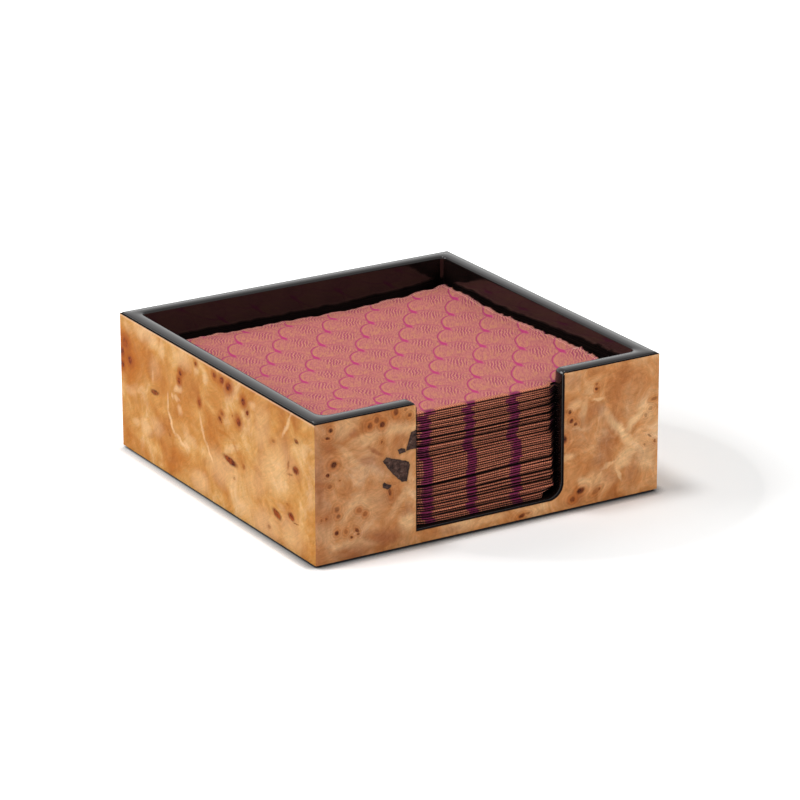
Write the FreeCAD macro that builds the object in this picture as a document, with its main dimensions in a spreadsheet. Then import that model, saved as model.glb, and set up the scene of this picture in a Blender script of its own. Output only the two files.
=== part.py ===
"""Square napkin holder: four mitred, black lacquered walls with a rounded rim, a finger notch
in the front wall, burl veneer outside, a floor, a felt pad, and a stack of folded napkins."""
import FreeCAD, Part

import math
import os

import Sketcher

# Driving sizes in millimetres. The box is made to fit the napkin, so its width follows from it.
SIZES = {
    "napkin_side": 165.0,            # a luncheon napkin, folded in four
    "napkin_room": 9.0,              # play between a napkin and the walls, both sides together
    "box_height": 70.8,              # from the table to the top of the rim
    "core_thickness": 7.2,           # wall board with its black lacquer
    "veneer_thickness": 0.8,         # burl veneer with its clear gloss
    "rim_proud": 0.7,                # rim above the veneer, and the round of its outer edge
    "rim_round": 1.2,                # round of the inner edge of the rim and of the notch
    "front_corner_radius": 5.0,      # inner corners beside the notch
    "back_corner_radius": 2.5,       # inner corners at the back
    "notch_width": 81.0,
    "notch_shoulder_radius": 2.5,    # where the rim turns down into the notch
    "notch_left_foot_radius": 1.0,   # where the left side of the notch meets the sill
    "notch_right_foot_radius": 7.5,
    "veneer_ease": 0.3,              # broken outer edge of the veneer, along its top and notch
    "pad_thickness": 1.2,            # felt under the box
    "pad_inset": 1.0,                # from the face of the veneer to the edge of the felt
    "pad_corner_radius": 3.0,
    "floor_thickness": 6.5,          # floor board with its lacquer; its top is level with the sill
    "floor_gap": 0.1,                # glue between the floor and the walls
    "spline_length": 6.0,            # across the mitre
    "spline_thickness": 2.0,
    "spline_height": 46.0,
    "spline_lift": 12.0,             # underside of a spline above the table
    "spline_depth": 6.2,             # from the outer corner of the cores, along the mitre
    "spline_gap": 0.2,               # glue room at the ends of a spline
    "napkin_shift": 1.0,             # stack off the middle of the box, to the left and to the front
    "napkin_turn": 2.0,              # degrees that the stack lies turned, its right end forward
    "napkin_lift": 0.1,              # lowest napkin above the floor
    "napkin_air": 0.1,               # between one napkin and the next
    "napkin_front_rise": 2.2,        # height that each napkin adds at its folded front edge
    "napkin_back_rise": 1.94,        # and at its loose back edge
    "napkin_fold_round": 0.8,        # round of the folded edge
    "crease_mouth": 0.3,             # opening between the two folds, at the front edge
    "crease_depth": 5.0,
}
NAPKINS_UNDER_TOP = 24

# Expressions shared by the pieces, measured from the middle of the box and up from the table.
HALF_CAVITY = "(Sizes.napkin_side + Sizes.napkin_room) / 2"
HALF_CORE = f"({HALF_CAVITY} + Sizes.core_thickness)"
HALF_OUTSIDE = f"({HALF_CORE} + Sizes.veneer_thickness)"
FLOOR_TOP = "(Sizes.pad_thickness + Sizes.floor_thickness)"
VENEER_TOP = "(Sizes.box_height - Sizes.rim_proud)"
DIAGONAL = "sqrt(2) / 2"             # share of a diagonal length that lies along X, and along Y

# Each side of the box is drawn as the front one, and each corner as the front right one. They are
# then turned about Z to their places, a quarter turn further each.
SIDES = ("front", "right", "back", "left")
CORNERS = ("front_right", "back_right", "back_left", "front_left")
# Inner corner radius at the -X end and at the +X end of each side, before it is turned.
END_RADII = {
    "front": ("front_corner_radius", "front_corner_radius"),
    "right": ("front_corner_radius", "back_corner_radius"),
    "back": ("back_corner_radius", "back_corner_radius"),
    "left": ("back_corner_radius", "front_corner_radius"),
}

SKETCH_HALF = 60.0                   # a sketch is drawn roughly, then its constraints size it
SKETCH_RADIUS = 4.0
SAME = 1e-5                          # two edges closer than this lie level
WIDTH, DEPTH, UP = FreeCAD.Vector(1, 0, 0), FreeCAD.Vector(0, 1, 0), FreeCAD.Vector(0, 0, 1)

doc = FreeCAD.newDocument("NapkinHolder")


def make_sheet():
    """The driving sizes as aliased cells, which every expression reads."""
    sheet = doc.addObject("Spreadsheet::Sheet", "Sizes")
    for row, (alias, value) in enumerate(SIZES.items(), start=1):
        sheet.set(f"A{row}", str(value))
        sheet.setAlias(f"A{row}", alias)
    doc.recompute()


def new_body(name, quarters=0):
    """A body for one piece, turned about Z by a number of quarter turns."""
    body = doc.addObject("PartDesign::Body", name)
    body.Label = name
    body.Placement.Rotation = FreeCAD.Rotation(UP, 90 * quarters)
    return body


def new_sketch(body, name, role, lift=None):
    """An empty sketch on one of the body's own origin planes, raised along its normal by lift."""
    sketch = body.newObject("Sketcher::SketchObject", name)
    plane = next(part for part in body.Origin.OriginFeatures if part.Role == role)
    sketch.AttachmentSupport = (plane, [""])
    sketch.MapMode = "FlatFace"
    if lift:
        sketch.setExpression("AttachmentOffset.Base.z", lift)
    return sketch


def measure(sketch, name, kind, geometry, point, start, expression):
    """A distance from the sketch's origin to a point, named and bound to an expression."""
    constraint = Sketcher.Constraint(kind, -1, 1, geometry, point, start)
    sketch.renameConstraint(sketch.addConstraint(constraint), name)
    sketch.setExpression(f"Constraints.{name}", expression)


def draw_polygon(body, name, role, corners, lift=None):
    """A closed outline of straight lines through corners, each a pair of expressions."""
    sketch = new_sketch(body, name, role, lift)
    count = len(corners)
    rough = [FreeCAD.Rotation(UP, 360 * i / count) * (SKETCH_HALF * WIDTH) for i in range(count)]
    for i in range(count):
        sketch.addGeometry(Part.LineSegment(rough[i], rough[(i + 1) % count]), False)
    for i in range(count):
        sketch.addConstraint(Sketcher.Constraint("Coincident", i, 2, (i + 1) % count, 1))
    for i, (across, along) in enumerate(corners):
        measure(sketch, f"corner{i}_across", "DistanceX", i, 1, rough[i].x, across)
        measure(sketch, f"corner{i}_along", "DistanceY", i, 1, rough[i].y, along)
    return sketch


def draw_rounded_square(body, name, half, radii, lift=None):
    """A square about the Z axis, reaching half each way, with a radius at each corner from the
    front left one round by the front right."""
    sketch = new_sketch(body, name, "XY_Plane", lift)
    inner = SKETCH_HALF - SKETCH_RADIUS
    turns = [FreeCAD.Rotation(UP, 90 * i) for i in range(4)]
    for turn in turns:
        side = [turn * FreeCAD.Vector(x, -SKETCH_HALF, 0) for x in (-inner, inner)]
        sketch.addGeometry(Part.LineSegment(*side), False)
    for i, turn in enumerate(turns):
        circle = Part.Circle(turn * FreeCAD.Vector(-inner, -inner, 0), UP, SKETCH_RADIUS)
        start, end = (math.radians(180 + 90 * (i + step)) for step in (0, 1))
        sketch.addGeometry(Part.ArcOfCircle(circle, start, end), False)
    for i in range(4):
        sketch.addConstraint(Sketcher.Constraint("Tangent", i, 1, 4 + i, 2))
        sketch.addConstraint(Sketcher.Constraint("Tangent", i, 2, 4 + (i + 1) % 4, 1))
        sketch.addConstraint(Sketcher.Constraint("Vertical" if i % 2 else "Horizontal", i))
    for i, radius in enumerate(radii):
        constraint = Sketcher.Constraint("Radius", 4 + i, SKETCH_RADIUS)
        sketch.renameConstraint(sketch.addConstraint(constraint), f"radius{i}")
        sketch.setExpression(f"Constraints.radius{i}", radius)
    measure(sketch, "front", "DistanceY", 0, 1, -SKETCH_HALF, f"-({half})")
    measure(sketch, "right", "DistanceX", 1, 1, SKETCH_HALF, half)
    measure(sketch, "back", "DistanceY", 2, 1, SKETCH_HALF, half)
    measure(sketch, "left", "DistanceX", 3, 1, -SKETCH_HALF, f"-({half})")
    return sketch


def add_pad(body, sketch, length, midplane=False):
    """The sketch raised by a length, or by half of it to each side."""
    pad = body.newObject("PartDesign::Pad", f"{sketch.Name}_pad")
    pad.Profile = sketch
    pad.Midplane = midplane
    pad.setExpression("Length", length)
    doc.recompute()
    return pad


def add_pocket(body, sketch, length):
    """A cut that runs half its length to each side of the sketch, and must remove something."""
    before = body.Shape.Volume
    pocket = body.newObject("PartDesign::Pocket", f"{sketch.Name}_pocket")
    pocket.Profile = sketch
    pocket.Midplane = True
    pocket.setExpression("Length", length)
    doc.recompute()
    if body.Shape.Volume >= before:
        raise RuntimeError(f"{pocket.Name} cuts nothing")
    return pocket


def edges_along(body, direction):
    """The straight edges that run along an axis: (number in the shape, middle point)."""
    found = []
    for number, edge in enumerate(body.Tip.Shape.Edges, start=1):
        straight = edge.Curve.TypeId == "Part::GeomLine"
        if straight and abs(abs(edge.Curve.Direction.dot(direction)) - 1) < SAME:
            found.append((number, edge.valueAt((edge.FirstParameter + edge.LastParameter) / 2)))
    return found


def outermost(edges, height):
    """The numbers of the edges whose middle points have the greatest height."""
    most = max(height(middle) for _, middle in edges)
    return [number for number, middle in edges if height(middle) > most - SAME]


def round_edges(body, name, numbers, radius):
    """A fillet of the numbered edges; it runs on along edges that meet them smoothly."""
    base = body.Tip
    fillet = body.newObject("PartDesign::Fillet", name)
    fillet.Base = (base, [f"Edge{number}" for number in numbers])
    fillet.setExpression("Radius", radius)
    doc.recompute()
    return fillet


def cut_notch(body, name):
    """The finger notch: level with the floor, open at the top, its corners rounded."""
    half, above = "Sizes.notch_width / 2", "Sizes.box_height + Sizes.notch_shoulder_radius"
    corners = [
        (f"-{half}", FLOOR_TOP),
        (half, FLOOR_TOP),
        (half, above),
        (f"-{half}", above),
    ]
    sketch = draw_polygon(body, f"{name}_notch", "XZ_Plane", corners)
    add_pocket(body, sketch, f"2 * {HALF_OUTSIDE}")
    for end, foot in ((-1, "left"), (1, "right")):
        across = edges_along(body, DEPTH)
        lowest = outermost(across, lambda p: -p.z)
        feet = [(number, middle) for number, middle in across if number in lowest]
        numbers = outermost(feet, lambda p: end * p.x)
        round_edges(body, f"{name}_notch_{foot}_foot", numbers, f"Sizes.notch_{foot}_foot_radius")
    across = edges_along(body, DEPTH)
    round_edges(
        body, f"{name}_notch_shoulders", outermost(across, lambda p: p.z), "Sizes.notch_shoulder_radius"
    )


def top_edges(body):
    """The straight edges along the top of a side."""
    level = edges_along(body, WIDTH)
    tops = outermost(level, lambda p: p.z)
    return [(number, middle) for number, middle in level if number in tops]


def make_wall(side):
    """One mitred wall: board, half of each inner corner, spline slots and rounded rim."""
    name = f"{side}_wall"
    body = new_body(name, SIDES.index(side))
    low, high = (f"({HALF_CAVITY} - Sizes.{radius})" for radius in END_RADII[side])
    corners = [
        (f"-{HALF_CORE}", f"-{HALF_CORE}"),
        (HALF_CORE, f"-{HALF_CORE}"),
        (high, f"-{high}"),
        (f"-{low}", f"-{low}"),
    ]
    plan = draw_polygon(body, f"{name}_plan", "XY_Plane", corners, lift="Sizes.pad_thickness")
    add_pad(body, plan, "Sizes.box_height - Sizes.pad_thickness")
    radii = [f"Sizes.{END_RADII[side][end]}" for end in (0, 1, 1, 0)]
    cavity = draw_rounded_square(body, f"{name}_cavity", HALF_CAVITY, radii)
    add_pocket(body, cavity, "2 * Sizes.box_height")
    if side == "front":
        cut_notch(body, name)
    inner = outermost(top_edges(body), lambda p: p.y)
    round_edges(body, f"{name}_inner_rim", inner, "Sizes.rim_round")
    outer = outermost(top_edges(body), lambda p: -p.y)
    round_edges(body, f"{name}_outer_rim", outer, "Sizes.rim_proud")
    for end in (-1, 1):
        place_spline(body, "PartDesign::SubtractiveBox", end, "Sizes.spline_gap")
    return body


def place_spline(body, kind, end, gap):
    """A spline, or the slot for one, square across the mitre at the -X or +X end of a side; gap
    is the room left beyond each end of the spline."""
    box = body.newObject(kind, f"{body.Name}_{'right' if end > 0 else 'left'}_spline")
    length = f"(Sizes.spline_length + 2 * {gap})"
    middle = "Sizes.spline_depth - Sizes.spline_thickness / 2"
    near = f"({middle} - {length} / 2) * {DIAGONAL}"
    far = f"({middle} + {length} / 2) * {DIAGONAL}"
    box.Placement.Rotation = FreeCAD.Rotation(UP, 45 * end)
    box.setExpression("Length", length)
    box.setExpression("Width", "Sizes.spline_thickness")
    box.setExpression("Height", f"Sizes.spline_height + 2 * {gap}")
    box.setExpression("Placement.Base.x", f"{HALF_CORE} - {far}" if end > 0 else f"{near} - {HALF_CORE}")
    box.setExpression("Placement.Base.y", f"{near if end > 0 else far} - {HALF_CORE}")
    box.setExpression("Placement.Base.z", f"Sizes.spline_lift - {gap}")
    doc.recompute()
    return box


def make_spline(corner):
    """The loose tongue hidden in the mitre of one corner."""
    body = new_body(f"{corner}_spline", CORNERS.index(corner))
    place_spline(body, "PartDesign::AdditiveBox", 1, "0")
    return body


def make_veneer(side):
    """One mitred sheet of veneer, short of the rim, with its outer edge broken."""
    name = f"{side}_veneer"
    body = new_body(name, SIDES.index(side))
    corners = [
        (f"-{HALF_OUTSIDE}", f"-{HALF_OUTSIDE}"),
        (HALF_OUTSIDE, f"-{HALF_OUTSIDE}"),
        (HALF_CORE, f"-{HALF_CORE}"),
        (f"-{HALF_CORE}", f"-{HALF_CORE}"),
    ]
    plan = draw_polygon(body, f"{name}_plan", "XY_Plane", corners, lift="Sizes.pad_thickness")
    add_pad(body, plan, f"{VENEER_TOP} - Sizes.pad_thickness")
    if side == "front":
        cut_notch(body, name)
    outer = outermost(top_edges(body), lambda p: -p.y)
    round_edges(body, f"{name}_ease", outer, "Sizes.veneer_ease")
    return body


def make_floor():
    """The floor board, let in between the walls and level with the sill of the notch."""
    body = new_body("floor_panel")
    radii = [f"Sizes.{side}_corner_radius - Sizes.floor_gap" for side in ("front", "front", "back", "back")]
    half = f"{HALF_CAVITY} - Sizes.floor_gap"
    plan = draw_rounded_square(body, "floor_plan", half, radii, lift="Sizes.pad_thickness")
    add_pad(body, plan, "Sizes.floor_thickness")
    return body


def make_base_pad():
    """The felt that the box stands on."""
    body = new_body("base_pad")
    half = f"{HALF_OUTSIDE} - Sizes.pad_inset"
    plan = draw_rounded_square(body, "pad_plan", half, ["Sizes.pad_corner_radius"] * 4)
    add_pad(body, plan, "Sizes.pad_thickness")
    return body


def make_napkin(name, below):
    """One napkin on a number of others. The folds at the front make it thicker there than at the
    loose back edge, so the stack falls away towards the back."""
    body = new_body(name)
    body.setExpression("Placement.Base.x", "-Sizes.napkin_shift")
    body.setExpression("Placement.Base.y", "-Sizes.napkin_shift")
    body.setExpression("Placement.Rotation.Angle", "-Sizes.napkin_turn")
    half = "Sizes.napkin_side / 2"
    foot = f"({FLOOR_TOP} + Sizes.napkin_lift)"
    front, back = (f"({foot} + {below} * Sizes.napkin_{end}_rise)" for end in ("front", "back"))
    front_thickness = "(Sizes.napkin_front_rise - Sizes.napkin_air)"
    back_thickness = "(Sizes.napkin_back_rise - Sizes.napkin_air)"
    section = [
        (f"-{half}", front),
        (half, back),
        (half, f"{back} + {back_thickness}"),
        (f"-{half}", f"{front} + {front_thickness}"),
    ]
    side = draw_polygon(body, f"{name}_section", "YZ_Plane", section)
    add_pad(body, side, "Sizes.napkin_side", midplane=True)
    fold = outermost(edges_along(body, WIDTH), lambda p: -p.y)
    round_edges(body, f"{name}_fold", fold, "Sizes.napkin_fold_round")
    middle = f"({front} + {front_thickness} / 2)"
    crease = [
        (f"-{half} - Sizes.crease_mouth", f"{middle} - Sizes.crease_mouth / 2"),
        (f"-{half} + Sizes.crease_depth", middle),
        (f"-{half} - Sizes.crease_mouth", f"{middle} + Sizes.crease_mouth / 2"),
    ]
    sketch = draw_polygon(body, f"{name}_crease", "YZ_Plane", crease)
    add_pocket(body, sketch, "2 * Sizes.napkin_side")
    return body


def check(pieces):
    """Stop if any object failed or any piece isn't one sound solid."""
    doc.recompute()
    for item in doc.Objects:
        if "Invalid" in item.State or "Error" in item.State:
            raise RuntimeError(f"{item.Name} failed: {item.State}")
    for piece in pieces:
        if piece.Shape.isNull() or not piece.Shape.isValid() or len(piece.Shape.Solids) != 1:
            raise RuntimeError(f"{piece.Label} isn't one valid solid")


def main():
    make_sheet()
    pieces = [make_wall(side) for side in SIDES]
    pieces += [make_veneer(side) for side in SIDES]
    pieces += [make_spline(corner) for corner in CORNERS]
    pieces += [make_floor(), make_base_pad()]
    pieces += [make_napkin(f"napkin_{i + 1:02d}", i) for i in range(NAPKINS_UNDER_TOP)]
    pieces.append(make_napkin("top_napkin", NAPKINS_UNDER_TOP))
    check(pieces)
    os.makedirs("parts", exist_ok=True)
    for piece in pieces:
        piece.Shape.exportStep(f"parts/{piece.Label}.step")
        print(f"{piece.Label:20s} {piece.Shape.Volume / 1000:9.3f} cm3")


main()
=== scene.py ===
"""A square luncheon-napkin box: burl veneer outside, black lacquer inside, and its stack of napkins.

The carcase pieces are the CAD solids with their finishes. Each napkin is folded here from a flat
sheet. The lower 24 ride on the stack and the top one rides on its own body.
"""

import math
import random

import bpy
from mathutils import Matrix, Vector, noise


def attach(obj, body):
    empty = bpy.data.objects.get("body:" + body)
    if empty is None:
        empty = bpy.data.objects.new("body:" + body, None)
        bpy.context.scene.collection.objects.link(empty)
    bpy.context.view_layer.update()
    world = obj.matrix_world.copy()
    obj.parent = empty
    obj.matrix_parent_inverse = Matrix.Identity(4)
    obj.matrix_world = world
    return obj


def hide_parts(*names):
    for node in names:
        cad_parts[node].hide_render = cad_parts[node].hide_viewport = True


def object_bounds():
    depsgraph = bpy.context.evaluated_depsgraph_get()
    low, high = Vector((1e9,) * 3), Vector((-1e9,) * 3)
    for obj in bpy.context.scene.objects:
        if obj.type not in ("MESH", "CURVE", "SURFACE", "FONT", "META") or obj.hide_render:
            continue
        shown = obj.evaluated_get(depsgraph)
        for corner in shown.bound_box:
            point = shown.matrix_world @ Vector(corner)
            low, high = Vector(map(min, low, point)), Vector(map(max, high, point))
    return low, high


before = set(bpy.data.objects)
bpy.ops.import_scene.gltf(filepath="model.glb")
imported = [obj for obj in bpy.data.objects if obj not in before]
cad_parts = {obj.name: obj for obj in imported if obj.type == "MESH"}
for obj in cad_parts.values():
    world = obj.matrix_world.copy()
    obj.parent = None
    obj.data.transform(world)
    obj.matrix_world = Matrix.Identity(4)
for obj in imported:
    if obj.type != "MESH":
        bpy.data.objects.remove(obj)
cad_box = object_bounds()

MM = 0.001

# Places on the box, in mm. The front leaf's notch has a square left foot and a round right one.
HALF = round(cad_box[1][0] / MM, 3)
LEAF_TOP = 70.1
RIM_MIDDLE = 90.6
SILL = 7.7
NOTCH_HALF = 40.5
FOOT_ROUND = 7.5
FOOT_X, FOOT_Z = NOTCH_HALF - FOOT_ROUND, SILL + FOOT_ROUND

# ------------------------------------------------------------------ material helpers


def paint(hex_colour):
    """An sRGB hex colour as the linear RGBA that a shader socket takes."""
    parts = [int(hex_colour[i:i + 2], 16) / 255 for i in (1, 3, 5)]
    return tuple(c / 12.92 if c <= 0.04045 else ((c + 0.055) / 1.055) ** 2.4 for c in parts) + (1.0,)


def node(tree, kind, inputs=(), out=0, stops=None, **settings):
    """Adds a shader node with its settings and links, and gives back one of its outputs.

    The inputs are a tuple in the order of the sockets, or a dict by their names or numbers.
    """
    made = tree.nodes.new("ShaderNode" + kind)
    for name, value in settings.items():
        setattr(made, name, value)
    for name, value in inputs.items() if isinstance(inputs, dict) else enumerate(inputs):
        if isinstance(value, bpy.types.NodeSocket):
            tree.links.new(value, made.inputs[name])
        else:
            made.inputs[name].default_value = value
    if stops:
        elements = made.color_ramp.elements
        while len(elements) < len(stops):
            elements.new(0.5)
        for element, (place, colour) in zip(elements, stops):
            element.position, element.color = place, paint(colour)
    return made.outputs[out]


def new_material(name, **sockets):
    """A fresh material, its tree and its Principled shader, with the shader's plain numbers set."""
    material = bpy.data.materials.new(name)
    material.use_nodes = True
    tree = material.node_tree
    shader = next(n for n in tree.nodes if n.type == "BSDF_PRINCIPLED")
    for socket, value in sockets.items():
        shader.inputs[socket.replace("_", " ")].default_value = value
    return material, tree, shader


def wander(tree, place, size, amount, detail=2.0):
    """A place moved about by a soft noise, so that what is drawn on it swirls."""
    push = node(tree, "TexNoise", {"Vector": place, "Scale": 1 / size, "Detail": detail}, out=1)
    push = node(tree, "VectorMath", (push, (0.5, 0.5, 0.5)), operation="SUBTRACT")
    push = node(tree, "VectorMath", {0: push, 3: amount}, operation="SCALE")
    return node(tree, "VectorMath", (place, push), operation="ADD")


def spots(tree, place, face, table, ramps):
    """Oval soft-edged spots on a face: the strongest at each ramp, then how far the nearest one is.

    A row is across, up, half width, half height and turn, then one strength for each ramp.
    """
    across, depth = face
    fields, nearest = [None] * len(ramps), None
    for along, up, wide, tall, turn, *strengths in table:
        turn = math.radians(turn)
        front = across == "X"
        own = node(tree, "Mapping", {
            "Vector": place,
            "Location": (along, depth, up) if front else (depth, along, up),
            "Rotation": (0, -turn, 0) if front else (turn, 0, 0),
            "Scale": (wide, 99, tall) if front else (99, wide, tall)}, vector_type="TEXTURE")
        far = node(tree, "VectorMath", (own,), out=1, operation="LENGTH")
        for i, ((outer, inner), strength) in enumerate(zip(ramps, strengths)):
            if strength:
                here = node(tree, "MapRange", (far, outer, inner, 0.0, strength),
                            interpolation_type="SMOOTHSTEP", clamp=False)
                fields[i] = here if fields[i] is None else node(
                    tree, "Math", (fields[i], here), operation="MAXIMUM")
        nearest = far if nearest is None else node(
            tree, "Math", (nearest, far), operation="MINIMUM")
    return [field or 0.0 for field in fields] + [nearest]


# ------------------------------------------------------------------ burl veneer

# Each face: the axis that runs along it, and how far it lies from the middle of the box.
FRONT, BACK, LEFT, RIGHT = ("X", -HALF), ("X", HALF), ("Y", -HALF), ("Y", HALF)

# Bud eyes, in mm and degrees: across, up, half width, half height, turn, darkness, warm halo.
FRONT_EYES = [
    (-86.5, 65.8, 1.0, 1.0, 0, 0.75, 0.6), (-88.1, 62.4, 1.2, 0.7, -15, 0.8, 0.3),
    (-65.6, 64.1, 1.1, 1.4, 0, 0.6, 0.7), (-62.1, 66.2, 1.1, 1.2, 0, 0.45, 0.6),
    (-59.0, 63.5, 1.2, 1.3, 0, 0.95, 0.9), (-51.7, 68.3, 1.1, 1.5, 0, 0.7, 0.8),
    (-46.5, 68.7, 0.8, 0.7, 0, 0.4, 0.4), (-44.3, 65.5, 0.9, 0.9, 0, 0.6, 0.6),
    (-85.0, 48.9, 1.6, 1.5, 30, 0.8, 0.8), (-88.3, 44.4, 0.8, 0.8, 0, 0.95, 0.4),
    (-87.1, 38.7, 1.0, 0.8, 0, 0.4, 0.3), (-81.8, 40.8, 0.5, 0.4, 0, 0.5, 0.4),
    (-59.4, 55.0, 0.6, 0.6, 0, 0.5, 0.5), (-83.5, 26.8, 1.1, 1.2, 0, 0.5, 0.5),
    (-82.7, 23.3, 1.0, 0.9, 0, 0.5, 0.6), (-89.2, 23.5, 0.6, 0.6, 0, 0.5, 0.4),
    (-91.7, 23.3, 0.5, 0.6, 0, 0.4, 0.4), (-83.8, 15.4, 0.9, 1.0, 0, 1.0, 0.9),
    (-78.8, 14.9, 0.8, 0.9, 0, 0.35, 0.6), (-72.9, 14.5, 0.7, 1.3, 35, 0.75, 0.8),
    (-75.8, 11.6, 0.7, 0.7, 0, 0.7, 0.8), (-72.3, 12.4, 0.7, 0.6, 0, 0.6, 0.7),
    (-68.5, 21.6, 0.9, 1.0, 0, 0.35, 1.0), (-71.7, 24.1, 1.1, 0.9, 0, 0.3, 0.9),
    (-55.2, 29.9, 0.7, 1.9, 12, 0.65, 0.7), (59.2, 58.8, 0.8, 0.8, 0, 0.75, 1.0),
    (59.2, 61.1, 0.6, 0.5, 0, 0.4, 0.8), (44.1, 49.9, 0.8, 0.8, 0, 0.7, 0.4),
    (45.1, 45.3, 1.0, 1.0, 0, 0.85, 0.4), (47.5, 43.3, 0.9, 0.8, 0, 0.75, 0.4),
    (40.9, 36.8, 1.5, 1.8, 0, 0.95, 0.9), (50.8, 9.1, 2.1, 1.3, 20, 0.85, 0.8),
    (46.3, 5.5, 1.3, 1.1, 0, 0.6, 0.9), (61.5, 7.8, 0.6, 0.7, 0, 0.6, 0.7),
    (59.5, 7.0, 2.0, 0.9, 30, 0.25, 0.6), (87.7, 40.1, 0.8, 0.8, 0, 0.35, 0.3),
    (90.4, 43.3, 1.0, 0.8, 0, 0.25, 0.3), (92.5, 47.8, 1.7, 0.7, 10, 0.4, 0.4),
    (90.2, 29.5, 1.2, 0.4, -30, 0.5, 0.2), (87.3, 25.3, 0.6, 0.6, 0, 0.35, 0.3),
    (93.3, 26.2, 0.6, 0.8, 0, 0.55, 0.4), (17.5, 3.1, 1.6, 0.9, 15, 0.75, 0.9),
    (20.8, 3.6, 1.2, 0.5, 0, 0.35, 0.6),
]
LEFT_EYES = [
    (93.2, 50.6, 1.5, 2.0, 0, 0.85, 1.0), (85.3, 48.4, 1.9, 1.7, 20, 0.85, 1.0),
    (93.3, 44.2, 1.5, 1.6, 0, 0.95, 1.0), (90.0, 56.2, 2.4, 2.2, 0, 0.45, 1.0),
    (60.0, 39.2, 4.0, 1.35, -6, 0.75, 0.0), (33.2, 57.0, 1.2, 1.1, 0, 0.9, 0.9),
    (34.6, 52.8, 1.2, 1.4, 0, 0.95, 1.0), (14.4, 47.8, 1.1, 1.4, 0, 0.6, 1.0),
    (17.2, 66.6, 1.1, 1.0, 0, 0.75, 0.7), (-1.1, 66.2, 1.4, 1.1, 0, 0.7, 0.8),
    (45.3, 21.7, 0.8, 0.8, 0, 0.35, 0.2), (-8.3, 65.8, 2.0, 1.6, -25, 0.95, 0.7),
    (-14.6, 64.5, 2.3, 1.7, -30, 0.9, 1.0), (-28.9, 61.3, 1.7, 1.7, 0, 0.95, 0.9),
    (-32.5, 56.9, 1.3, 1.1, -30, 0.9, 0.7), (-24.0, 49.8, 1.9, 1.8, 0, 0.95, 0.9),
    (-5.7, 45.9, 1.2, 1.1, 0, 0.75, 0.7), (-7.2, 44.6, 0.5, 0.5, 0, 0.8, 0.4),
    (-7.8, 49.1, 1.3, 0.9, 0, 0.4, 0.8), (-18.1, 50.9, 0.5, 0.5, 0, 0.5, 0.4),
    (-15.0, 27.6, 6.4, 1.8, 6, 0.85, 0.0), (-28.4, 28.7, 1.2, 1.2, 0, 0.5, 0.3),
    (-18.9, 19.7, 1.1, 0.7, -20, 0.35, 0.2), (-57.2, 50.6, 1.6, 0.7, -15, 0.35, 0.3),
    (-78.4, 57.1, 1.8, 1.0, 10, 0.7, 0.2), (-77.5, 42.7, 2.9, 1.9, -8, 0.8, 0.2),
    (-70.6, 43.1, 0.7, 2.1, 10, 0.45, 0.3), (-72.2, 38.9, 2.3, 0.5, -12, 0.4, 0.2),
    (-59.3, 15.3, 4.2, 1.9, 14, 0.8, 0.0), (-72.8, 18.4, 2.9, 1.8, 12, 0.85, 0.2),
    (-77.2, 16.2, 2.5, 0.4, -8, 0.55, 0.1), (-69.2, 23.4, 1.2, 0.6, 0, 0.35, 0.3),
    (-51.9, 6.4, 1.2, 0.9, 0, 0.35, 0.3), (47.0, 24.0, 0.4, 0.5, 0, 0.35, 0.2),
]
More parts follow.
